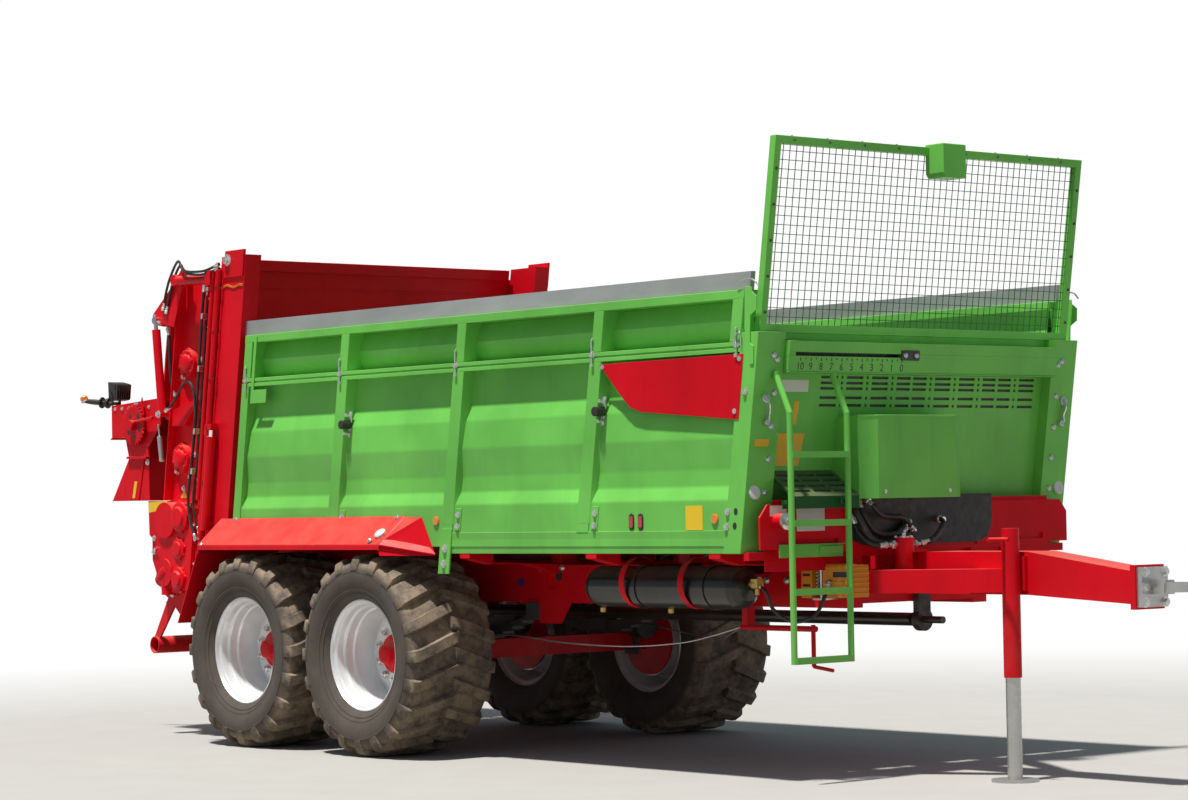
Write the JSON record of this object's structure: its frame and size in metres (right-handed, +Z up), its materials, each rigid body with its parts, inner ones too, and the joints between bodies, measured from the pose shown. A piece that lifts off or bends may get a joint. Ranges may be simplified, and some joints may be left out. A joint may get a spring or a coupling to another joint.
{
  "type": "manure spreader",
  "caption": "Towed tandem-axle manure spreader with a leaning ribbed load body, sliding rear gate, lying beaters and spreading discs under a hinged hood.",
  "frame": {"origin": "on the ground, at the middle of the outline's length and width", "axes": "+X forward to the tow eye, +Y to the machine's left, +Z up"},
  "size_m": [7.617, 2.55, 3.018],
  "materials": {
    "red_paint": "semi-gloss red paint",
    "green_paint": "semi-gloss green paint",
    "dark_green_paint": "dark green paint",
    "grey_board": "dull grey board",
    "bare_steel": "bare or zinc-plated steel",
    "dark_steel": "dark forged steel",
    "cylinder_rod": "hard-chromed rod",
    "rim_paint": "silver-white paint",
    "black_paint": "black paint",
    "black_plastic": "matt black plastic",
    "yellow_plastic": "orange-yellow plastic",
    "tyre_rubber": "dusty tread rubber"
  },
  "bodies": {
    "chassis": {"main_frame": "red_paint", "drawbar": "red_paint", "tow_eye": "bare_steel", "jack_sleeve": "red_paint", "axle_beams": "red_paint", "leaf_springs": "dark_steel", "brake_gear": "bare_steel", "air_tank": "black_paint", "fenders": "red_paint", "bumper": "red_paint", "side_wall_right": "green_paint", "side_wall_left": "green_paint", "upper_board_right": "green_paint", "upper_board_left": "green_paint", "crest_boards": "grey_board", "front_wall": "green_paint", "mesh_screen": "green_paint", "floor_plate": "bare_steel", "scraper_chain": "dark_steel", "ladder": "green_paint", "platform": "dark_green_paint", "toolbox": "green_paint", "wheel_chocks": "yellow_plastic", "oil_filter": "red_paint", "parking_brake": "red_paint", "gate_posts": "red_paint", "gate_cylinders": "red_paint", "unit_side_right": "red_paint", "unit_side_left": "red_paint", "drive_cases": "red_paint", "disc_carrier": "red_paint", "unit_beams": "red_paint", "shaft_guard": "black_plastic"},
    "wheel_front_right": {"rim_front_right": "rim_paint", "tyre_front_right": "tyre_rubber"},
    "wheel_front_left": {"rim_front_left": "rim_paint", "tyre_front_left": "tyre_rubber"},
    "wheel_rear_right": {"rim_rear_right": "rim_paint", "tyre_rear_right": "tyre_rubber"},
    "wheel_rear_left": {"rim_rear_left": "rim_paint", "tyre_rear_left": "tyre_rubber"},
    "jack": {"jack_leg": "bare_steel"},
    "gate": {"rear_gate": "red_paint", "gate_rods": "cylinder_rod"},
    "lower_beater": {"beater_lower": "red_paint"},
    "upper_beater": {"beater_upper": "red_paint"},
    "right_disc": {"disc_right": "bare_steel"},
    "left_disc": {"disc_left": "bare_steel"},
    "hood_body": {"hood": "red_paint", "hood_lamps": "black_plastic"},
    "hood_barrel": {"hood_barrels": "red_paint"},
    "hood_rod": {"hood_rods": "cylinder_rod"},
    "input_shaft": {"drive_shaft": "black_paint"}
  },
  "joints": [
    {"name": "wheel_front_right_spin", "type": "hinge", "parent": "chassis", "child": "wheel_front_right", "pos_m": [-0.7515, -0.995, 0.538], "axis": [0, 1, 0], "continuous": true},
    {"name": "wheel_front_left_spin", "type": "hinge", "parent": "chassis", "child": "wheel_front_left", "pos_m": [-0.7515, 0.995, 0.538], "axis": [0, 1, 0], "continuous": true},
    {"name": "wheel_rear_right_spin", "type": "hinge", "parent": "chassis", "child": "wheel_rear_right", "pos_m": [-1.8715, -0.995, 0.538], "axis": [0, 1, 0], "continuous": true},
    {"name": "wheel_rear_left_spin", "type": "hinge", "parent": "chassis", "child": "wheel_rear_left", "pos_m": [-1.8715, 0.995, 0.538], "axis": [0, 1, 0], "continuous": true},
    {"name": "jack_leg_travel", "type": "slide", "parent": "chassis", "child": "jack", "axis": [0, 0, 1], "range_m": [0, 0.35]},
    {"name": "gate_lift", "type": "slide", "parent": "chassis", "child": "gate", "axis": [0.1478, 0, 0.989], "range_m": [0, 0.45]},
    {"name": "input_shaft_spin", "type": "hinge", "parent": "chassis", "child": "input_shaft", "pos_m": [0.2485, 0, 0.73], "axis": [1, 0, 0], "continuous": true},
    {"name": "lower_beater_spin", "type": "hinge", "parent": "chassis", "child": "lower_beater", "pos_m": [-2.77821, 0, 1.622], "axis": [0, 1, 0], "continuous": true},
    {"name": "upper_beater_spin", "type": "hinge", "parent": "chassis", "child": "upper_beater", "pos_m": [-2.69572, 0, 2.174], "axis": [0, 1, 0], "continuous": true},
    {"name": "right_disc_spin", "type": "hinge", "parent": "chassis", "child": "right_disc", "pos_m": [-3.0015, -0.5, 0.77], "axis": [0, 0, 1], "continuous": true},
    {"name": "left_disc_spin", "type": "hinge", "parent": "chassis", "child": "left_disc", "pos_m": [-3.0015, 0.5, 0.77], "axis": [0, 0, 1], "continuous": true},
    {"name": "hood_swing", "type": "hinge", "parent": "chassis", "child": "hood_body", "pos_m": [-2.7035, 0, 2.658], "axis": [0, 1, 0], "range_deg": [0, 35]},
    {"name": "hood_barrel_swing", "type": "hinge", "parent": "chassis", "child": "hood_barrel", "pos_m": [-2.8925, 0, 1.887], "axis": [0, 1, 0], "range_deg": [-6, 0]},
    {"name": "hood_rod_slide", "type": "slide", "parent": "hood_barrel", "child": "hood_rod", "axis": [-0.1096, 0, 0.994], "range_m": [0, 0.195]}
  ],
  "couplings": [
    {"joint": "lower_beater_spin", "follows": "input_shaft_spin", "ratio": 0.4},
    {"joint": "upper_beater_spin", "follows": "input_shaft_spin", "ratio": 0.4},
    {"joint": "right_disc_spin", "follows": "input_shaft_spin", "ratio": -0.5},
    {"joint": "left_disc_spin", "follows": "input_shaft_spin", "ratio": 0.5},
    {"joint": "hood_barrel_swing", "follows": "hood_swing", "ratio": -0.1583},
    {"joint": "hood_rod_slide", "follows": "hood_swing", "m_per_rad": 0.3093}
  ]
}
